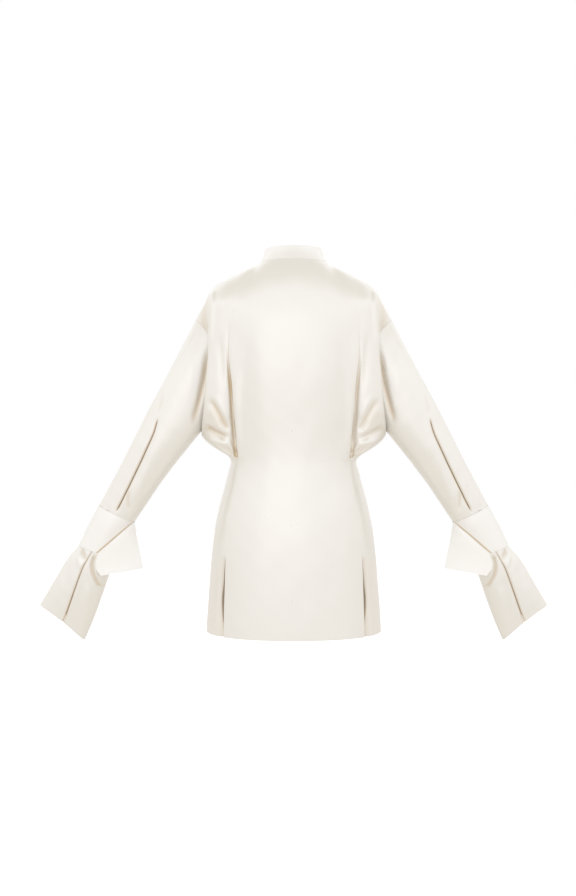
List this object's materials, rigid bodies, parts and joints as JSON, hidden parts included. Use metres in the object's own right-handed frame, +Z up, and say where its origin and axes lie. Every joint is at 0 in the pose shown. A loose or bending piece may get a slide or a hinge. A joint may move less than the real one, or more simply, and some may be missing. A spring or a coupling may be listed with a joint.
{
  "type": "shirt dress",
  "caption": "Worn, hollow satin shirt dress: band collar, dropped shoulders, bloused waist, vented straight skirt, long slit sleeves with banded flared cuffs.",
  "frame": {"origin": "middle of the neck opening, at the height where the shoulders carry the dress", "axes": "+Z up along the wearer's spine, the wearer faces -Y, the wearer's left is +X"},
  "size_m": [1.162, 0.2551, 0.8945],
  "materials": {
    "satin": "smooth ivory silk satin with a soft sheen",
    "facing": "stiffened ivory satin, double layer",
    "pearl": "polished ivory button"
  },
  "bodies": {
    "root": {"back": "satin", "front_left": "satin", "front_right": "satin", "placket": "satin", "collar": "satin", "sleeve_left": "satin", "sleeve_right": "satin", "cuff_left": "satin", "cuff_right": "satin", "cuff_band_left": "satin", "cuff_band_right": "satin", "cuff_wing_left": "facing", "cuff_wing_right": "facing", "button_1": "pearl", "button_2": "pearl", "button_3": "pearl", "button_4": "pearl", "button_5": "pearl", "button_6": "pearl", "button_7": "pearl", "button_8": "pearl", "button_9": "pearl"}
  },
  "joints": []
}
